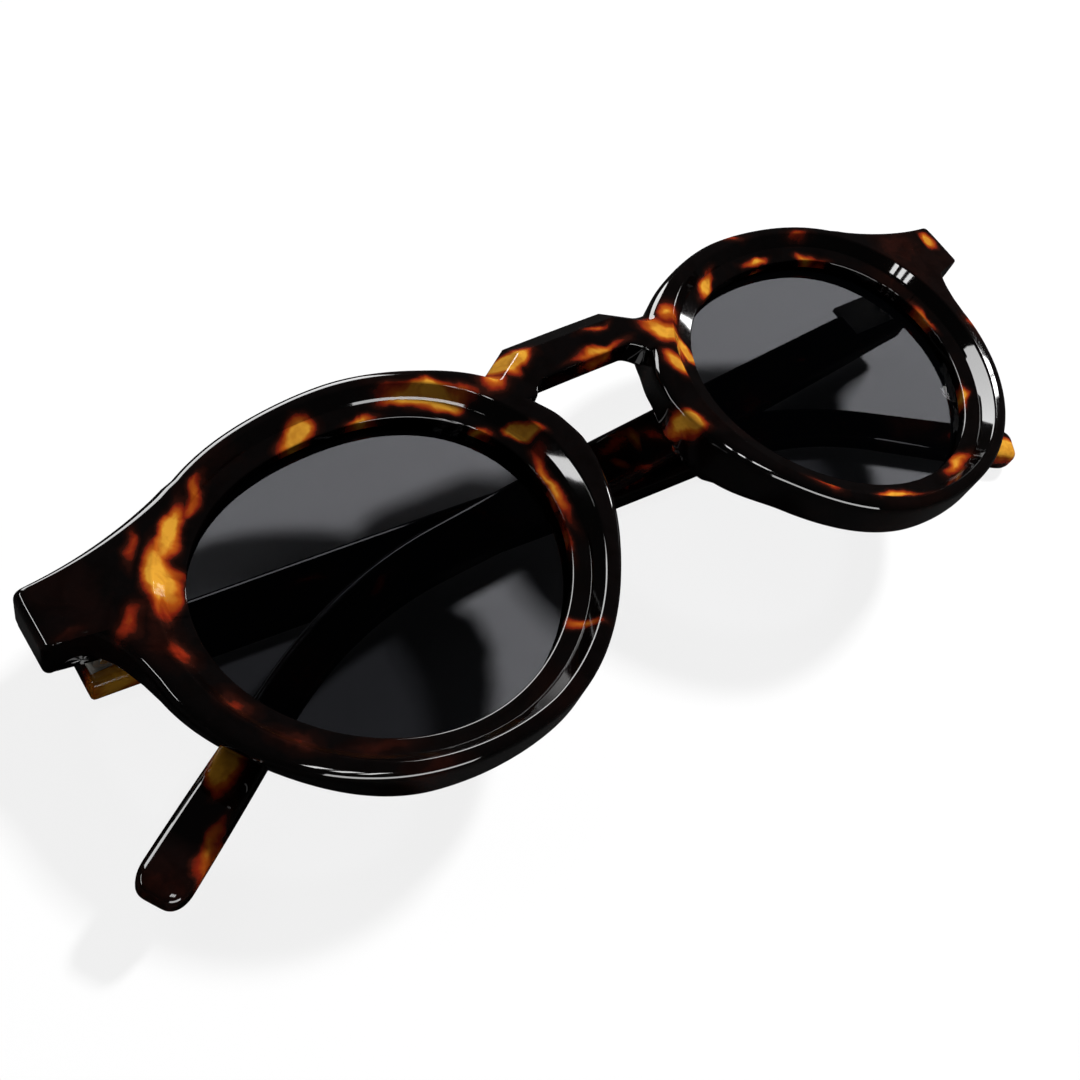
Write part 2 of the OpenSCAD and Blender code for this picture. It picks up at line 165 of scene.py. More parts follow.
def backStep(a):  # how much wider the back is than the face
    return swell(a, *rims["noseFlare"]) - swell(a, *rims["keyholeLean"]) - swell(a, *rims["undercut"])


easing = {"share": 0.46, "pad": 0.05, "padShare": 0.08}


def rounded(corners):  # (x, y, radius, steps, maybe the share of the side before it), no steps for a sharp corner
    points = []
    for index, (x, y, radius, steps, *share) in enumerate(corners):
        here = Vector((x, y))
        before = Vector(corners[index - 1][:2]) - here
        after = Vector(corners[(index + 1) % len(corners)][:2]) - here
        if not steps:
            points.append(here)
            continue
        half = before.angle(after) / 2
        most = share[0] if share else easing["share"]
        reach = min(radius / math.tan(half), most * before.length, easing["share"] * after.length)
        start, end = here + before.normalized() * reach, here + after.normalized() * reach
        pad = min(easing["pad"], reach * easing["padShare"])  # a close point keeps the flat side's light flat
        points.append(start + before.normalized() * pad)
        for step in range(steps + 1):
            t = step / steps
            points.append(start * (1 - t) ** 2 + here * 2 * t * (1 - t) + end * t * t)
        points.append(end + after.normalized() * pad)
    return points


def rimSection(w, back):  # the ring, its step, the crest, the outer edge, the back and the groove
    crest = min(rims["crest"], w * rims["crestMost"])
    ring = min(rims["ringWide"], crest * rims["ringMost"])
    edge = min(rims["edge"], (w - crest) * rims["edgeMost"]) * rims["edgeSpread"]
    low, thick = rims["ringDeep"], rims["thick"]
    rise = rims["ringRise"] - low
    dome = rims["dome"] * min(1, rims["domeWide"] / w)
    lensTop = lensShape["inset"] - lensShape["slack"]
    lensLow = lensShape["inset"] + lensShape["thick"] + lensShape["slack"]
    groove = lensShape["grip"] + lensShape["endSlack"]
    return rounded([
        (0, -low, 0.3, 3), (ring, rise, 0.05, 1), (ring + 0.2, rise + 0.3, 0.1, 2), (crest - 0.2, 0, 0.5, 4),
        (w, -dome, edge, 10, rims["edgeShare"]), (back, -thick, rims["trim"], 4), (0, -thick, 0.5, 3),
        (0, -lensLow, 0, 0), (groove, -lensLow, 0, 0), (groove, -lensTop, 0, 0), (0, -lensTop, 0, 0)])


def spread(first, last, count):
    return [first + (last - first) * i / (count - 1) for i in range(count)]


def lugTop(x):
    return lugs["top"] + lugs["rootRise"] * (1 - min(1, (x - lugs["root"]) / (lugs["out"] - lugs["root"]))) ** 2


def lugUnder(x):
    t = min(1, (x - lugs["notch"]) / (lugs["out"] - lugs["notch"]))
    return lugs["bottom"] - lugs["notchDrop"] * (1 - t) ** lugs["notchPower"]


def rimOutline():  # under the lug, round its end, back along its top and then round the rim
    out, top, low = lugs["out"], lugs["top"], lugs["bottom"]
    points = [(x, lugUnder(x)) for x in spread(lugs["notch"], lugs["notch"] + 2, 14)]
    points += [(x, lugUnder(x)) for x in spread(lugs["notch"] + 2.3, out - 1.2, 12)]
    end = rounded([(out - 1.5, low, 0, 0), (out, low, 0.7, 6), (out - 0.1, top, 1.1, 8), (out - 1.8, top, 0, 0)])
    points += [tuple(p) for p in end[1:10]] + [(out - 0.03, y) for y in spread(low + 1.2, top - 1.8, 8)]
    points += [tuple(p) for p in end[10:-1]]
    points += [(x, lugTop(x)) for x in spread(out - 2, lugs["root"], 24)]
    points = [(x - lensX, y) for x, y in points]
    for a in spread(rims["first"], rims["last"], int((rims["last"] - rims["first"]) / rims["step"]) + 1):
        reach = opening(a) + rimWidth(a)
        turn = math.radians(a)
        points.append((reach * math.cos(turn), reach * math.sin(turn)))
    return points


def skin(form, rings, closed):  # joins the rings up, and caps them unless they close on themselves
    rows = [[form.verts.new(p) for p in ring] for ring in rings]
    count = len(rows[0])
    for i in range(len(rows) if closed else len(rows) - 1):
        here, there = rows[i], rows[(i + 1) % len(rows)]
        for j in range(count):
            form.faces.new((here[j], here[(j + 1) % count], there[(j + 1) % count], there[j]))
    if not closed:
        form.faces.new(list(reversed(rows[0])))
        form.faces.new(rows[-1])


def rimForm(side):
    form = bmesh.new()
    rings = []
    for x, y in rimOutline():
        a = math.degrees(math.atan2(y, x)) % 360
        reach, turn = opening(a), math.radians(a)
        w = math.hypot(x, y) - reach
        ring = []
        for out, z in rimSection(w, w + backStep(a)):
            px = lensX + (reach + out) * math.cos(turn)
            ring.append((side * px, (reach + out) * math.sin(turn), faceDepth(px) + z))
        rings.append(ring)
    skin(form, rings, True)
    return form


def bridgeTopEdge(x):
    if x < bridgeBar["flat"]:
        return bridgeBar["top"]
    if x < bridgeBar["slopeEnd"]:
        fall = (x - bridgeBar["flat"]) / (bridgeBar["slopeEnd"] - bridgeBar["flat"])
        return bridgeBar["top"] - (bridgeBar["top"] - bridgeBar["slopeLow"]) * fall
    return bridgeBar["slopeLow"] - bridgeBar["tailFall"] * (x - bridgeBar["slopeEnd"])


def bridgeUnder(x):
    t = (x - bridgeBar["flat"]) / bridgeBar["corner"] / 2 + 0.5
    if t < 1:
        return bridgeBar["under"] - bridgeBar["round"] * max(0, t) ** 2
    return bridgeBar["under"] - bridgeBar["round"] + max(0, x - bridgeBar["end"] + 2) * bridgeBar["tailRise"]


def bridgeForm():
    form = bmesh.new()
    corner, end = bridgeBar["flat"], bridgeBar["end"]
    places = sorted(set(spread(0, 6.4, 9) + spread(6.5, 9.1, 14) + spread(9.4, bridgeBar["slopeEnd"], 9)
                        + [corner - 0.05, corner, corner + 0.05, end]))
    rings = []
    for x in [-p for p in reversed(places[1:])] + places:
        top, low = bridgeTopEdge(abs(x)), bridgeUnder(abs(x))
        z, cut, deep = faceDepth(x) - bridgeBar["sink"], bridgeBar["chamfer"], bridgeBar["thick"]
        cut = min(cut, (top - low) * 0.45)
        section = rounded([(low, z, 0.45, 4), (top - cut, z, 0.7, 5),
                           (top, z - bridgeBar["chamferDeep"] * cut, 0.9, 5),
                           (top, z - deep, 0.7, 4), (low, z - deep, 0.8, 4)])
        rings.append([(x, y, h) for y, h in section])
    skin(form, rings, False)
    return form


def ballPoints(middle, radius, rings=9, around=18):
    points = []
    for i in range(rings + 1):
        tilt = math.pi * i / rings
        for j in range(around):
            turn = math.tau * j / around
            points.append(Vector(middle) + radius * Vector(
                (math.sin(tilt) * math.cos(turn), math.sin(tilt) * math.sin(turn), math.cos(tilt))))
    return points


def hullForm(points):
    form = bmesh.new()
    for p in points:
        form.verts.new(p)
    bmesh.ops.remove_doubles(form, verts=form.verts, dist=1e-4)
    made = bmesh.ops.convex_hull(form, input=form.verts)
    spare = {v for v in made["geom_interior"] + made["geom_unused"] if isinstance(v, bmesh.types.BMVert)}
    bmesh.ops.delete(form, geom=list(spare), context="VERTS")
    return form


def padForms(side):  # the moulded pad leans out of the back of the rim, on its nose side
    def ball(y, deep, out):
        a = 180 - math.degrees(math.asin(y / (opening(180) + rimWidth(180))))
        edge = lensX + (opening(a) + rimWidth(a) + backStep(a)) * math.cos(math.radians(a))
        x = edge + nosePads["inside"] + nosePads["ball"] + out
        z = faceDepth(x) - rims["thick"] - deep + nosePads["ball"]
        return ballPoints((side * x, y, z), nosePads["ball"])
    middle, deep, ends = (nosePads["top"] + nosePads["bottom"]) / 2, nosePads["deep"], nosePads["endDeep"]
    high, low = middle + nosePads["reach"], middle - nosePads["reach"]
    upper = ball(nosePads["top"], ends, 0.5) + ball(high, deep, -0.1) + ball(high, 0, 1.2)
    centre = ball(high, deep, -0.1) + ball(low, deep, 0) + ball(middle, 0, 1.2)
    lower = ball(low, deep, 0) + ball(nosePads["bottom"], ends, 0.5) + ball(low, 0, 1.2)
    return [hullForm(upper), hullForm(centre), hullForm(lower)]


def discPoints(x, y, z, radius, count=24):
    return [Vector((x + radius * math.cos(math.tau * i / count), y + radius * math.sin(math.tau * i / count), z))
            for i in range(count)]


def bossForm(side):  # the lug is thicker behind, where the hinge is let in
    inner, outer = lugs["out"] - lugs["bossLong"], lugs["out"] - 1
    back, low, top = hinges["z"] + hinges["off"], lugs["bottom"], lugs["top"]
    front, wide, ease = faceDepth(lugs["out"]) - lugs["bossFront"], lugs["bossRound"], lugs["bossEase"]
    points = []
    for x in (inner, outer):
        for y in (low + lugs["bossIn"], top - lugs["bossIn"]):
            points += discPoints(side * x, y, back, wide) + discPoints(side * x, y, back + ease, wide + ease)
    for x in (inner + 0.8, outer - 0.1):
        for y in (low + 1, top - 1):
            points += discPoints(side * x, y, front, 0.9)
    return hullForm(points)


def boxForm(low, high):
    form = bmesh.new()
    size = Vector(high) - Vector(low)
    bmesh.ops.create_cube(form, size=1)
    bmesh.ops.scale(form, verts=form.verts, vec=size)
    bmesh.ops.translate(form, verts=form.verts, vec=(Vector(high) + Vector(low)) / 2)
    return form


def meshObject(name, form, place=None):
    if place is not None:
        bmesh.ops.transform(form, verts=form.verts, matrix=place)
    bmesh.ops.recalc_face_normals(form, faces=form.faces)
    mesh = bpy.data.meshes.new(name)
    form.to_mesh(mesh)
    form.free()
    made = bpy.data.objects.new(name, mesh)
    scene.collection.objects.link(made)
    return made


def combine(base, others, operation):
    for other in others:
        step = base.modifiers.new("cut", "BOOLEAN")
        step.operation, step.object, step.solver = operation, other, "EXACT"
    bpy.context.view_layer.update()
    graph = bpy.context.evaluated_depsgraph_get()
    made = bpy.data.meshes.new_from_object(base.evaluated_get(graph))
    base.modifiers.clear()
    base.data = made
    for other in others:
        bpy.data.objects.remove(other)


def dropDoubles(piece):  # joining can leave pairs of sliver faces that lie on one another
    form = bmesh.new()
    form.from_mesh(piece.data)
    bmesh.ops.remove_doubles(form, verts=form.verts, dist=5e-7)
    bmesh.ops.triangulate(form, faces=form.faces)
    found = {}
    for face in form.faces:
        found.setdefault(frozenset(v.index for v in face.verts), []).append(face)
    spare = [face for same in found.values() if len(same) > 1 for face in same]
    bmesh.ops.delete(form, geom=spare, context="FACES")
    form.to_mesh(piece.data)
    form.free()


def finishPiece(piece, body, node, paint, sharp=32):
    piece.data.materials.clear()
    piece.data.materials.append(paint)
    for face in piece.data.polygons:
        face.use_smooth = True
    piece.data.set_sharp_from_angle(angle=math.radians(sharp))
    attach(piece, body)
    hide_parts(node)
    print(piece.name, len(piece.data.polygons), "faces")


class Wire:  # a socket that takes part in sums
    def __init__(self, paint, socket):
        self.paint, self.socket = paint, socket

    def sum(self, operation, first, second):
        return self.paint.node("ShaderNodeMath", {"operation": operation}, {0: first, 1: second})

    def __add__(self, other):
        return self.sum("ADD", self, other)

    def __radd__(self, other):
        return self.sum("ADD", other, self)

    def __sub__(self, other):
        return self.sum("SUBTRACT", self, other)

    def __rsub__(self, other):
        return self.sum("SUBTRACT", other, self)

    def __mul__(self, other):
        return self.sum("MULTIPLY", self, other)

    def __rmul__(self, other):
        return self.sum("MULTIPLY", other, self)


class Paint:  # a node tree and the means to fill it
    def __init__(self, tree):
        self.tree = tree
        tree.nodes.clear()

    def node(self, kind, settings=None, sockets=None, output=0):
        made = self.tree.nodes.new(kind)
        for key, value in (settings or {}).items():
            if key == "stops":
                ramp = made.color_ramp
                while len(ramp.elements) < len(value):
                    ramp.elements.new(0.5)
                for stop, (place, colour) in zip(ramp.elements, value):
                    stop.position, stop.color = place, (*colour, 1)
            else:
                setattr(made, key, value)
        for key, value in (sockets or {}).items():
            if isinstance(value, Wire):
                self.tree.links.new(value.socket, made.inputs[key])
            else:
                made.inputs[key].default_value = value
        return Wire(self, made.outputs[output]) if made.outputs else made

    def place(self):
        return self.node("ShaderNodeTexCoord", output="Object")

    def noise(self, place, scale, detail=3, roughness=0.5, output="Fac"):
        return self.node("ShaderNodeTexNoise", None,
                         {"Vector": place, "Scale": scale, "Detail": detail, "Roughness": roughness}, output)

    def drift(self, place, scale, reach, detail=2):  # moves a place about by a noise, up to reach mm each way
        wander = self.noise(place, scale, detail, 0.5, "Color")
        centred = self.node("ShaderNodeVectorMath", {"operation": "SUBTRACT"}, {0: wander, 1: (0.5, 0.5, 0.5)})
        return self.node("ShaderNodeVectorMath", {"operation": "MULTIPLY_ADD"},
                         {0: centred, 1: (4 * reach * mm,) * 3, 2: place})

    def blend(self, amount, first, second):
        return self.node("ShaderNodeMix", {"data_type": "RGBA"}, {0: amount, 6: first, 7: second}, 2)

    def ramp(self, value, stops):
        return self.node("ShaderNodeValToRGB", {"stops": stops}, {"Fac": value}, "Color")

    def bump(self, height, strength, distance):
        return self.node("ShaderNodeBump", None, {"Height": height, "Strength": strength, "Distance": distance})

    def surface(self, shader):
        self.node("ShaderNodeOutputMaterial", None, {"Surface": shader})

    def rays(self, *kinds):  # what sort of ray is looking, by the names of the outputs
        path = self.node("ShaderNodeLightPath")
        return [Wire(self, path.socket.node.outputs[kind]) for kind in kinds]


def newPaint(name):
    material = bpy.data.materials.new(name)
    material.use_nodes = True
    return material, Paint(material.node_tree)


tortoiseLook = {
    "stops": [
        (0.0, (0.002, 0.0014, 0.0014)), (0.26, (0.006, 0.002, 0.0015)), (0.44, (0.024, 0.005, 0.003)),
        (0.6, (0.2, 0.016, 0.005)), (0.82, (0.42, 0.09, 0.008)), (1.0, (0.66, 0.31, 0.03))],
    "drifts": [(120, 1.3), (420, 0.3)],  # noise scale and reach in millimetres
    "glowScale": 55, "glowGain": 1.7, "flameGain": 1.55, "flameSize": 1.45, "flameDeep": 14,
    "streakScale": 900, "streakGain": 0.22,
    "deepScale": 330, "deepFrom": 0.46, "deepTo": 0.64, "deepMost": 0.6, "deepTint": (0.5, 0.34, 0.25),
    "roughness": 0.03, "wearScale": 260, "wearGain": 0.03,
    "bumpScale": 140, "bump": 0.04, "bumpHigh": 0.0005, "ior": 1.49,
}
frontFlames = [  # middle x, y, half length, half width, turn, strength
    (-58.9, 9.6, 5.2, 1.9, 70, 1.4), (-55.9, 14.3, 4.6, 1.6, 52, 1.35), (-51.6, 17.6, 3.6, 1.1, 30, 0.85),
    (-62.0, 3.0, 4.0, 2.6, 60, 0.42), (-60.4, 14.0, 3.0, 0.9, 70, 0.72),
    (-37.5, 19.4, 2.7, 1.7, 20, 1.15), (-29.5, 18.4, 3.0, 1.2, -8, 0.95),
    (-21.0, 17.7, 6.0, 1.5, -24, 1.05), (-18.6, 11.8, 3.6, 0.9, -42, 0.85), (-13.6, 8.0, 2.2, 1.1, -50, 1.2),
    (-13.6, 0.5, 6.0, 1.0, 88, 0.8), (-15.6, -5.6, 4.0, 0.9, 66, 0.75), (-22.5, -16.2, 2.6, 1.0, -40, 0.72),
    (-64.0, 5.4, 3.4, 1.8, 35, 0.7), (-61.2, 1.4, 2.6, 1.8, 80, 0.78), (-59.0, -6.5, 3.0, 1.6, -66, 0.6),
    (-55.6, -13.0, 3.4, 1.5, -45, 0.5), (-48.5, -18.0, 3.6, 1.3, -20, 0.42), (-46.0, -23.0, 4.0, 1.4, -8, 0.36),
    (-8.4, 17.2, 3.0, 1.7, 12, 1.15), (-12.6, 16.2, 2.6, 2.0, 30, 0.7), (4.5, 17.4, 3.2, 0.6, 6, 0.5),
    (2.5, 14.2, 5.0, 0.8, 4, 0.7), (13.0, 12.7, 3.8, 2.6, -62, 0.88), (15.8, 15.6, 2.6, 1.8, 30, 0.68),
    (15.4, 10.6, 2.8, 1.3, -70, 1.15), (10.8, 8.0, 2.4, 1.3, -62, 0.9), (8.4, 0.5, 2.6, 1.5, -62, 0.95),
    (26.7, 18.0, 3.2, 1.0, 26, 0.88), (37.5, 19.4, 3.0, 0.9, 0, 0.85), (48.0, 17.4, 2.6, 0.9, -24, 0.8),
    (47.0, 21.0, 2.6, 1.2, -14, 0.5), (58.8, 2.0, 3.4, 1.0, -82, 0.78), (53.7, -10.5, 4.2, 0.9, 54, 0.85),
    (41.5, -20.8, 3.4, 1.2, 14, 0.78), (29.0, -20.8, 4.0, 1.3, -16, 0.95), (18.6, -15.0, 2.8, 1.2, -48, 0.58),
    (69.9, 13.4, 1.6, 2.2, 0, 0.9), (34.0, 23.5, 3.0, 1.0, 4, 0.45), (63.5, -3.0, 1.6, 3.0, 0, 0.5),
    # the two flames at the lug's outer end (x -73 and -70) are partly the plate's own red-brown and partly painted
    # light, a painted glow of light coming through the translucent end
    (-73.0, 10.0, 1.0, 3.4, 0, 0.45), (-70.0, 8.0, 3.0, 0.9, 0, 0.45),
]
templeFlames = [  # in world millimetres
    (-61.4, -8.8, 3.9, 2.3, 38, 1.3), (-66.8, -15.8, 4.2, 0.9, 38, 0.8), (-34.7, 2.1, 4.0, 1.0, 10, 0.55),
    (-40.0, 9.0, 5.0, 1.4, 4, 0.4), (5.0, 8.0, 5.0, 1.8, 6, 0.5), (11.5, 7.0, 4.0, 1.8, -30, 0.52),
    (7.5, 3.4, 5.0, 1.0, 4, 0.46), (44.0, 8.8, 3.0, 0.8, 0, 0.42), (-66.0, 7.0, 5.5, 2.6, 0, 0.85),
    (-71.0, 9.0, 2.4, 2.0, 0, 0.7),
    (71.5, -17.5, 4.0, 2.4, -30, 1.2), (64.0, -13.0, 3.5, 1.6, -30, 0.6), (-20.0, 3.0, 5.0, 1.2, 4, 0.42),
    (30.0, 6.0, 6.0, 1.4, 4, 0.4),
]


def makeTortoise(name, look, flames, offset, calm):
    material, paint = newPaint(name)
    place = paint.place()
    bent = place
    for scale, reach in look["drifts"]:
        bent = paint.drift(bent, scale, reach)
    glow = paint.noise(bent, look["glowScale"], 2, 0.45) * look["glowGain"] - calm
    size = look["flameSize"] * mm
    for x, y, length, width, turn, strength in flames:
        local = paint.node("ShaderNodeMapping", {"vector_type": "TEXTURE"}, {
            "Vector": bent, "Location": ((x + offset[0]) * mm, (y + offset[1]) * mm, offset[2] * mm),
            "Rotation": (0, 0, math.radians(turn)), "Scale": (length * size, width * size, look["flameDeep"] * mm)})
        spot = paint.node("ShaderNodeTexGradient", {"gradient_type": "SPHERICAL"}, {"Vector": local}, "Fac")
        glow = glow.sum("MAXIMUM", glow, spot * (look["flameGain"] * strength))
    streak = paint.noise(bent, look["streakScale"], 4, 0.6)
    glow = glow + (streak - 0.5) * look["streakGain"]
    colour = paint.ramp(glow, look["stops"])
    deep = paint.node("ShaderNodeMapRange", None, {  # deeper layers of the plate show darker
        "Value": paint.noise(bent, look["deepScale"], 3, 0.6), "From Min": look["deepFrom"],
        "From Max": look["deepTo"], "To Min": 0.0, "To Max": look["deepMost"]})
    dim = paint.node("ShaderNodeVectorMath", {"operation": "MULTIPLY"}, {0: colour, 1: look["deepTint"]})
    colour = paint.blend(deep, colour, dim)
    wear = paint.noise(place, look["wearScale"], 4, 0.6)
    height = paint.noise(place, look["bumpScale"], 2, 0.5)
    paint.surface(paint.node("ShaderNodeBsdfPrincipled", None, {
        "Base Color": colour, "Roughness": look["roughness"] + wear * look["wearGain"],
        "Normal": paint.bump(height, look["bump"], look["bumpHigh"]), "IOR": look["ior"]}))
    return material


lensLook = {
    "tint": (0.327, 0.329, 0.341), "ior": 1.5, "gloss": (0.004, 0.005, 0.007),
    "roughness": 0.02, "hazeScale": 180, "hazeGain": 0.02,
}


def makeLensPaint(look):  # a coloured clear film under a gloss that grows at a slant
    material, paint = newPaint("smokeLens")
    place = paint.place()
    through = paint.node("ShaderNodeBsdfTransparent", None, {"Color": (*look["tint"], 1)})
    haze = paint.noise(place, look["hazeScale"], 3, 0.5)
    gloss = paint.node("ShaderNodeBsdfPrincipled", None, {
        "Base Color": (*look["gloss"], 1), "Roughness": look["roughness"] + haze * look["hazeGain"],
        "IOR": look["ior"]})
    facing = paint.node("ShaderNodeFresnel", None, {"IOR": look["ior"]})
    facing = facing * (1 - paint.node("ShaderNodeNewGeometry", output="Backfacing"))
    paint.surface(paint.node("ShaderNodeMixShader", None, {0: facing, 1: through, 2: gloss}))
    return material


metalLook = {"dark": 0.75, "roughnessGain": 0.15, "bump": 0.15, "bumpHigh": 0.0001}


def makeMetal(name, colour, roughness, scale, look=metalLook):
    material, paint = newPaint(name)
    place = paint.place()
    grain = paint.noise(place, scale, 4, 0.6)
    tone = paint.blend(grain, (*[c * look["dark"] for c in colour], 1), (*colour, 1))
    paint.surface(paint.node("ShaderNodeBsdfPrincipled", None, {
        "Base Color": tone, "Metallic": 1.0, "Roughness": roughness + grain * look["roughnessGain"],
        "Normal": paint.bump(grain, look["bump"], look["bumpHigh"])}))
    return material


frontShift = frontPlace.translation / mm
frontTortoise = makeTortoise("frontTortoiseshell", tortoiseLook, frontFlames, frontShift, 0.92)
templeTortoise = makeTortoise("templeTortoiseshell", tortoiseLook, templeFlames, (0, 0, 4.5), 0.8)
lensPaint = makeLensPaint(lensLook)
hingePaint = makeMetal("brushedHinge", (0.34, 0.33, 0.31), 0.3, 2500)
screwPaint = makeMetal("screwMetal", (0.75, 0.74, 0.72), 0.12, 1800)
print("materials made")


def hingeSeat(low, high, place):  # a pocket for a hinge leaf, cut past the surface
    corners = list(zip(low, high))
    return meshObject("seat", boxForm([min(pair) for pair in corners], [max(pair) for pair in corners]), place)


def makeFront():
    shell = meshObject("frontShell", rimForm(1), frontPlace)
    extra = [meshObject("part", form, frontPlace) for form in (
        [rimForm(-1), bridgeForm(), bossForm(1), bossForm(-1)] + padForms(1) + padForms(-1))]
    combine(shell, extra, "UNION")
    gap, seats = hinges["gap"], []
    for side in (1, -1):
        x, y, z = side * hinges["x"], hinges["y"], hinges["z"] + hinges["off"]
        seats.append(hingeSeat(
            (x - side * (hinges["frontLeaf"] + gap), y - hinges["high"] / 2 - gap, z - 1),
            (x + side * (hinges["leafEnd"] + gap), y + hinges["high"] / 2 + gap, z + hinges["leaf"] + gap),
            frontPlace))
    combine(shell, seats, "DIFFERENCE")
    dropDoubles(shell)
    finishPiece(shell, "front", "front_frame", frontTortoise)


def makeLens(side, name, node):
    form = bmesh.new()
    turns, rings = spread(0, 360, lensShape["turns"] + 1)[:-1], lensShape["rings"]
    inset, back, bevel = lensShape["inset"], lensShape["inset"] + lensShape["thick"], lensShape["bevel"]

    def ring(part, depth, shrink=0):
        made = []
        for a in turns:
            reach = (opening(a) + lensShape["grip"] - shrink) * part
            x = lensX + reach * math.cos(math.radians(a))
            made.append((side * x, reach * math.sin(math.radians(a)), faceDepth(x) - depth))
        return made

    rows = [ring(part, inset) for part in rings] + [ring(1, inset, bevel), ring(1, inset + bevel)]
    rows += [ring(1, back - bevel), ring(1, back, bevel)]
    rows += [ring(part, back) for part in reversed(rings)]
    skin(form, rows, False)
    lens = meshObject(name, form, frontPlace)
    finishPiece(lens, "front", node, lensPaint, 30)


def templePath():  # along, up, slope, half height, inset and edge easing at each station, from the hinge axis
    t, mid = temples, math.radians(temples["droop"])
    bend = math.radians(t["bend"])
    tangent = t["bendRound"] * math.tan(bend / 2)
    straight, earStraight = t["bendAt"] - tangent, t["earLong"] - tangent
    bendEnd, slope = straight + t["bendRound"] * bend, mid + bend
    start = Vector((straight * math.cos(mid), -straight * math.sin(mid)))
    earStart = start + t["bendRound"] * Vector(
        (math.sin(mid + bend) - math.sin(mid), math.cos(mid + bend) - math.cos(mid)))

    def high(s):
        if s < t["tallAt"]:
            return t["butt"] + (t["tall"] - t["butt"]) * math.sin(math.pi / 2 * s / t["tallAt"])
        if s < bendEnd:
            fall = (1 + math.cos(math.pi * (s - t["tallAt"]) / (bendEnd - t["tallAt"]))) / 2
            return t["neck"] + (t["tall"] - t["neck"]) * fall
        part = min(1, (s - bendEnd) / (earStraight - 3))
        return t["neck"] + (t["ear"] - t["neck"]) * math.sin(math.pi / 2 * part)

    def shank(s, lean, half, inset=0):
        return s * math.cos(mid), -s * math.sin(mid), lean, half, inset, t["soft"]

    def ear(s, half, inset=0):
        return (earStart.x + s * math.cos(slope), earStart.y - s * math.sin(slope), slope, half, inset,
                t["earSoft"])

    def roundOff(part, power):
        return 1 - math.sqrt(1 - (t["tipEnd"] * part) ** power)

    butt = t["buttGap"] - hinges["off"]
    stations = [shank(butt + s, mid / 3, high(0) / 2 - inset, inset)
                for s, inset in ((0, 0.16), (0.18, 0.03), (0.5, 0))]
    stations += [shank(s, mid, high(s) / 2) for s in spread(0.4, straight, 48)]
    for part in spread(0.04, 1, 24):
        a = mid + bend * part
        along = start.x + t["bendRound"] * (math.sin(a) - math.sin(mid))
        up = start.y - t["bendRound"] * (math.cos(mid) - math.cos(a))
        soft = t["soft"] + (t["earSoft"] - t["soft"]) * part
        stations.append((along, up, a, high(straight + part * (bendEnd - straight)) / 2, 0, soft))
    stations += [ear(s, high(bendEnd + s) / 2) for s in spread(1.5, earStraight - t["tip"], 12)]
    for part in (0.15, 0.3, 0.45, 0.58, 0.7, 0.8, 0.88, 0.94, 0.98, 1.0):  # the tip rounds off in height and depth
        s = earStraight - t["tip"] * (1 - part)
        half = t["ear"] / 2 * (1 - t["tipFall"] * roundOff(part, t["tipFallPower"]))
        stations.append(ear(s, half, t["tipThin"] * roundOff(part, t["tipThinPower"])))
    return stations


def makeTemple(side, name, body, node):
    form, spot = bmesh.new(), hingeSpots[side]
    rings = []
    for along, up, slope, half, inset, soft in templePath():
        edge, thick = min(temples["edge"] * soft, half * 0.5), temples["thick"]
        section = rounded([(-half, inset, edge, 6), (half, inset, edge, 6),
                           (half, thick - inset, edge, 6), (-half, thick - inset, edge, 6)])
        rings.append([(side * -(along + q * math.sin(slope)), up + q * math.cos(slope) - temples["drop"],
                       -hinges["off"] - deep) for q, deep in section])
    skin(form, rings, False)
    place = Matrix.Scale(mm, 4) @ Matrix.Translation(spot)
    temple = meshObject(name, form, place)
    gap, off = hinges["gap"], hinges["off"]
    seat = hingeSeat(
        (-side * (hinges["templeLeaf"] + gap), -hinges["high"] / 2 - gap, -off - hinges["leaf"] - gap),
        (side * (hinges["leafEnd"] + gap), hinges["high"] / 2 + gap, -off + 1), place)
    combine(temple, [seat], "DIFFERENCE")
    finishPiece(temple, body, node, templeTortoise)


makeFront()
makeLens(1, "lensLeftPane", "lens_left")
makeLens(-1, "lensRightPane", "lens_right")
makeTemple(1, "templeArmLeft", "temple_left", "temple_left")
makeTemple(-1, "templeArmRight", "temple_right", "temple_right")
for name, node in frame["nodes"].items():
    if "hinge" in name:
        for slot in node.material_slots:
            slot.material = screwPaint if "screw" in name else hingePaint
print("pieces made")

studio = {"white": 0.9, "mirrored": 0.02, "clear": 0.85, "world": 0.05, "gloss": 0.02, "floor": 4}


def makeFloor(look):
    form = bmesh.new()
    bmesh.ops.create_grid(form, x_segments=2, y_segments=2, size=look["floor"])
    floor = meshObject("floor", form)
    material, paint = newPaint("paleFloor")
    seen, depth, shade, glossy = paint.rays(
        "Is Camera Ray", "Transparent Depth", "Is Shadow Ray", "Is Glossy Ray")
    bare = seen * (1 - seen.sum("MINIMUM", depth, 1.0))  # behind a lens the floor is all there
    tone = paint.blend(glossy, (*[look["white"]] * 3, 1), (*[look["mirrored"]] * 3, 1))  # gloss mirrors a dark room
    white = paint.node("ShaderNodeBsdfDiffuse", None, {"Color": tone})
    clear = paint.node("ShaderNodeBsdfTransparent")  # the white behind shows through, and so do opened temples
    part = shade.sum("MAXIMUM", shade, bare * look["clear"])
    paint.surface(paint.node("ShaderNodeMixShader", None, {0: part, 1: white, 2: clear}))
    floor.data.materials.append(material)


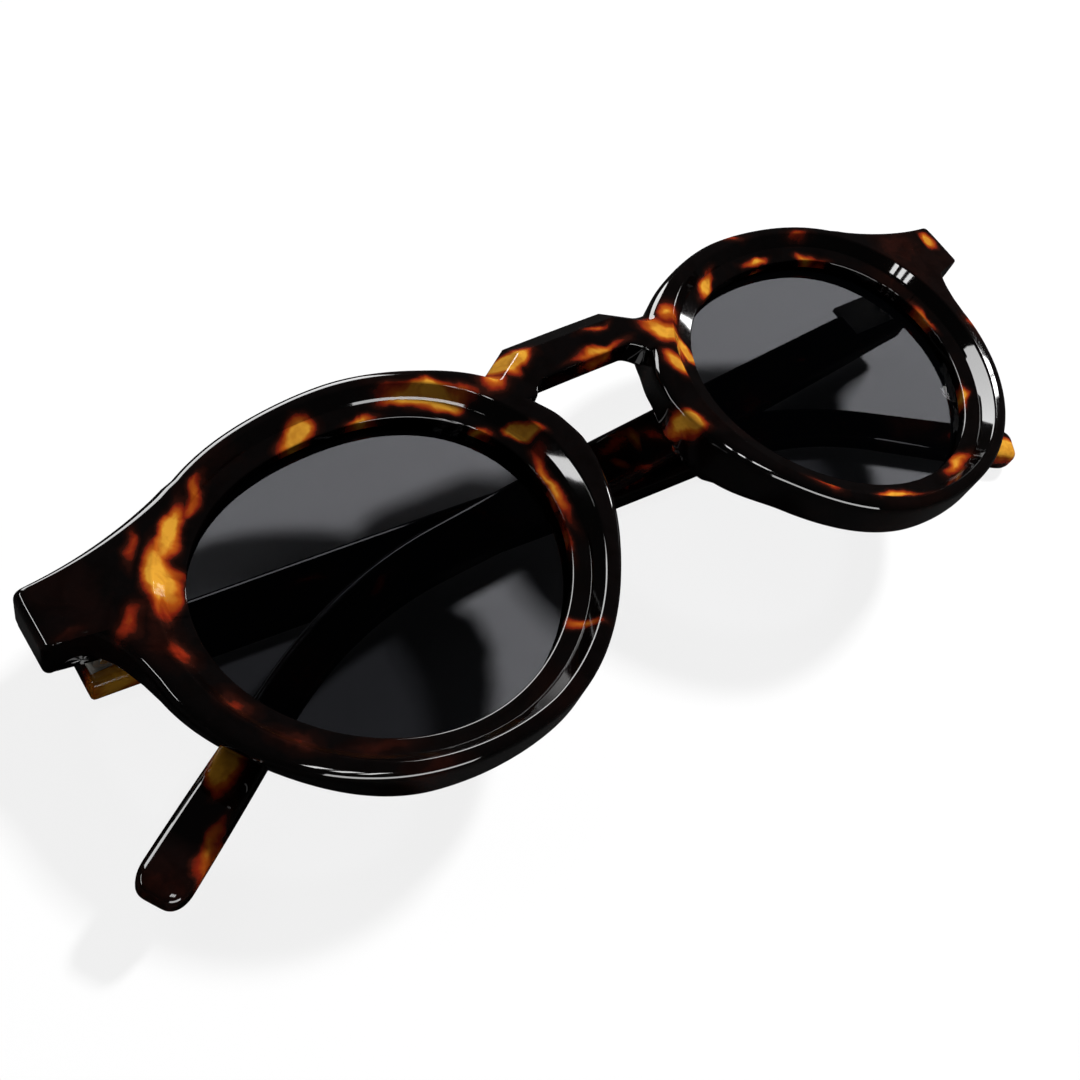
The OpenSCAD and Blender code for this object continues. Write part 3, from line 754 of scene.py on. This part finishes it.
def makeWorld(look):  # white to the camera, dim to the rest
    world = bpy.data.worlds.new("studio")
    scene.world = world
    world.use_nodes = True
    paint = Paint(world.node_tree)
    seen, glossy = paint.rays("Is Camera Ray", "Is Glossy Ray")
    strength = look["world"] + glossy * (look["gloss"] - look["world"]) + seen * (1 - look["world"])
    back = paint.node("ShaderNodeBackground", None, {"Color": (1, 1, 1, 1), "Strength": strength})
    paint.node("ShaderNodeOutputWorld", None, {"Surface": back})


lamps = [  # name, way to it and how far in metres, size, light, what sees it
    ("keyWindow", (0.68, 0.2, 0.7), 1.05, (0.12, 0.12), 18.0, "diffuse"),
    ("backFill", (-0.3, 0.6, 0.74), 1.1, (0.8, 0.6), 1.6, "diffuse"),
    ("browStrip", (0.0, 0.9, 0.4), 0.9, (0.9, 0.42), 14.0, "glossy"),
    ("chinStrip", (-0.35, -0.92, 0.15), 0.8, (0.7, 0.3), 6.5, "glossy"),
    ("sideStrip", (-0.86, 0.4, 0.31), 0.8, (0.5, 0.05), 1.2, "glossy"),
]
panes = [  # name, way to it, how far, size, light, what the middle one is aimed at, step to the next
    ("facePane", (0.86, 0.19, 0.47), 0.25, (0.0065, 0.03), 0.018, (0.0565, -0.0117, 0.0212), (0, 0.008, 0)),
    ("wallPane", (-0.6, -0.36, 0.7), 0.35, (0.018, 0.07), 0.07, (0.059, 0.0097, 0.0201), (0.018, -0.03, 0)),
]


def makeLamp(name, way, far, size, power, sees, aim=(0, 0, 0.02)):
    data = bpy.data.lights.new(name, "AREA")
    data.shape, data.size, data.size_y = "RECTANGLE", *size
    data.energy = power
    lamp = bpy.data.objects.new(name, data)
    scene.collection.objects.link(lamp)
    lamp.location = Vector(aim) + Vector(way).normalized() * far
    lamp.rotation_euler = (-Vector(way)).to_track_quat("-Z", "Y").to_euler()
    lamp.visible_glossy, lamp.visible_diffuse = sees == "glossy", sees == "diffuse"


makeFloor(studio)
makeWorld(studio)
for lamp in lamps:
    makeLamp(*lamp)
for pane in (-1, 0, 1):  # two windows of three panes, mirrored in the face and in the inner wall of a rim
    for name, way, far, size, power, aim, step in panes:
        makeLamp(name + str(pane + 2), way, far, size, power, "glossy", Vector(aim) + pane * Vector(step))
print("studio lit")
